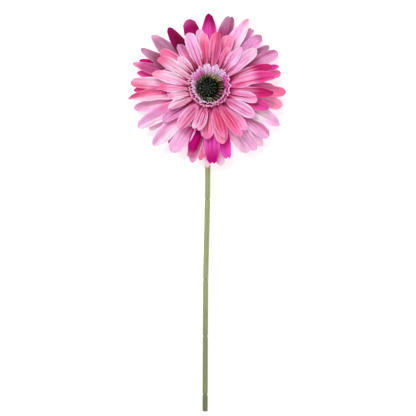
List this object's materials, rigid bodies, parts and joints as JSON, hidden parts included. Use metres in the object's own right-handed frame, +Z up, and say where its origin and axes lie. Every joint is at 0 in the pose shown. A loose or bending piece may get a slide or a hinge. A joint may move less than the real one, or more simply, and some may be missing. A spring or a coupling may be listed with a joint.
{
  "type": "artificial cut gerbera",
  "caption": "Daisy-like fabric bloom with layered petals round a dark centre, on a bent green stem that lies on a surface.",
  "frame": {"origin": "centre of the footprint, on the surface that the flower lies on", "axes": "+Y from the cut end of the stem towards the bloom, +Z up out of the bloom's face"},
  "size_m": [0.123, 0.3117, 0.0334],
  "materials": {
    "stem": "moulded olive-green plastic, satin",
    "calyx": "moulded green plastic, matt",
    "petals_back": "pressed dyed fabric, pale pinks and plum",
    "petals_long": "pressed dyed fabric, lilac, salmon and magenta",
    "petals_second": "pressed dyed fabric, hot pink",
    "petals_front": "pressed dyed fabric, pale lilac and coral",
    "crown": "pressed dyed fabric, lilac-white and magenta",
    "disc_fringe": "cut olive and tan filaments",
    "disc_eye": "near-black green needles"
  },
  "bodies": {
    "root": {"stem": "stem", "calyx": "calyx", "petals_back": "petals_back", "petals_long": "petals_long", "petals_second": "petals_second", "petals_front": "petals_front", "crown": "crown", "disc_fringe": "disc_fringe", "disc_eye": "disc_eye"}
  },
  "joints": []
}
